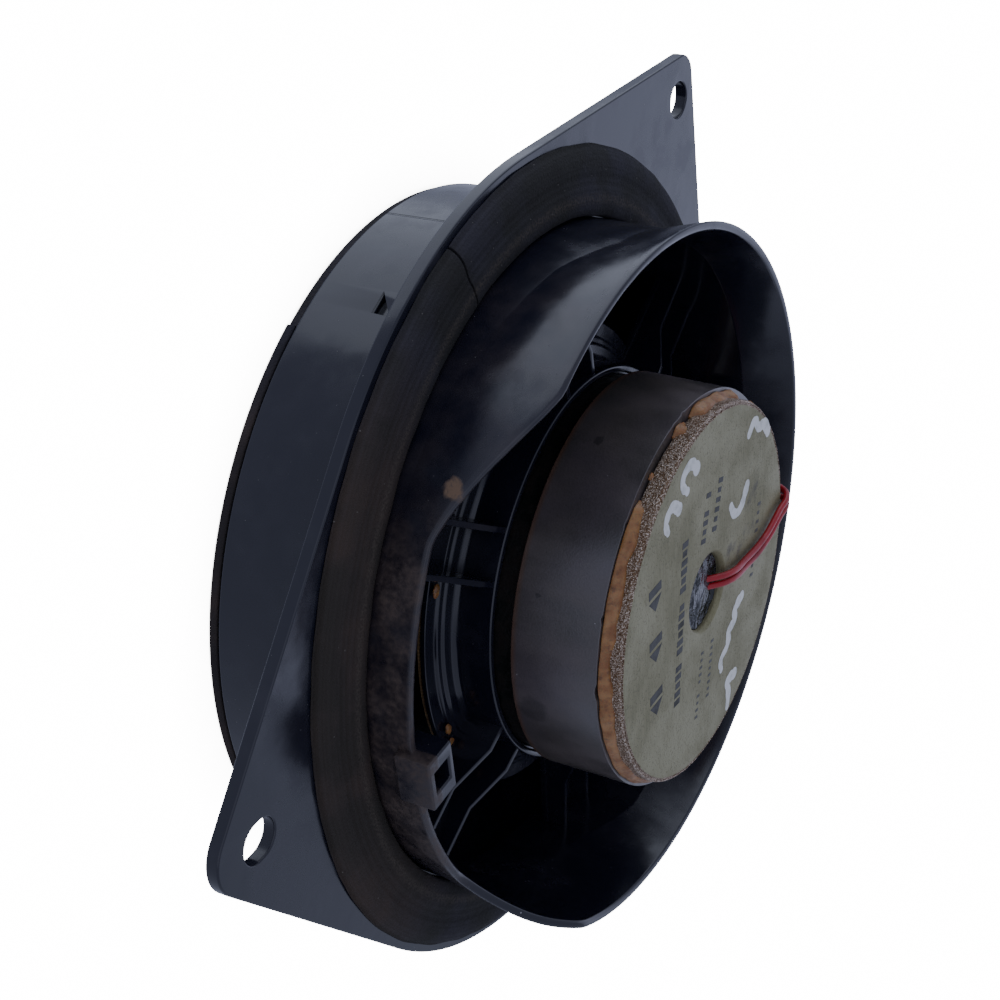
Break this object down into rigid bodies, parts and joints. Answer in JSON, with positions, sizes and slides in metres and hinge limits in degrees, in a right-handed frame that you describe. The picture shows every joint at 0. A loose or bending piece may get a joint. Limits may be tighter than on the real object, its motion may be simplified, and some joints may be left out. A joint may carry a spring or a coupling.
{
  "type": "car door speaker",
  "caption": "Round coaxial car door speaker seen from its magnet side: plastic basket with screw ears and a rain hood, foam gasket, tweeter on a centre post.",
  "frame": {"origin": "centre of the bounding box in X and Y, at the front rim gasket that the speaker stands on; the speaker axis is at X = -0.0147 m", "axes": "+Z along the speaker axis from the front rim to the magnet; +X from the axis to the screw ear beside the cable clip, which is the longest extent"},
  "size_m": [0.2181, 0.1888, 0.0782],
  "materials": {
    "black_plastic": "glossy injection-moulded, dusty",
    "gasket_foam": "matte closed-cell foam",
    "gasket_board": "matte foam strip",
    "plated_steel": "dull zinc plating",
    "ferrite": "ground ceramic, dark grey",
    "amber_glue": "cured amber adhesive",
    "cone_paper": "matte pressed paper",
    "spider_cloth": "impregnated cloth",
    "coil_former_film": "satin film",
    "enamelled_copper": "lacquered winding",
    "surround_rubber": "satin rubber",
    "neodymium": "nickel plated",
    "coated_silk": "coated cloth, satin",
    "fibre_board": "matte hard paper",
    "tinned_brass": "satin tin plating",
    "capacitor_sleeve": "shrunk sleeve",
    "red_pvc": "satin insulation",
    "tinsel_braid": "braided tinsel"
  },
  "bodies": {
    "frame": {"basket_frame": "black_plastic", "front_gasket": "gasket_board", "rear_gasket": "gasket_foam", "top_plate": "plated_steel", "ferrite_magnet": "ferrite", "t_yoke": "plated_steel", "glue_bead": "amber_glue", "spider": "spider_cloth", "surround": "surround_rubber", "tweeter_post": "black_plastic", "tweeter_housing": "black_plastic", "tweeter_faceplate": "black_plastic", "tweeter_pot": "plated_steel", "tweeter_pole_plate": "plated_steel", "tweeter_magnet": "neodymium", "tweeter_suspension": "coated_silk", "terminal_board": "fibre_board", "terminal_rivet": "tinned_brass", "terminal_lug_1": "tinned_brass", "terminal_lug_2": "tinned_brass", "capacitor_wire": "tinned_brass", "tweeter_capacitor": "capacitor_sleeve", "tweeter_lead_1": "red_pvc", "tweeter_lead_2": "red_pvc", "tinsel_lead_1": "tinsel_braid", "tinsel_lead_2": "tinsel_braid"},
    "cone": {"cone": "cone_paper", "voice_coil_former": "coil_former_film", "voice_coil_winding": "enamelled_copper"},
    "dome": {"tweeter_dome": "coated_silk", "tweeter_coil": "enamelled_copper"}
  },
  "joints": [
    {"name": "cone_excursion", "type": "slide", "parent": "frame", "child": "cone", "axis": [0, 0, 1], "range_m": [-0.003, 0.003], "stiffness_N_per_m": 2200, "deforming": ["surround", "spider", "tinsel_lead_1", "tinsel_lead_2"]},
    {"name": "dome_excursion", "type": "slide", "parent": "frame", "child": "dome", "axis": [0, 0, 1], "range_m": [-0.0003, 0.0003], "stiffness_N_per_m": 3000, "deforming": ["tweeter_suspension"]}
  ]
}
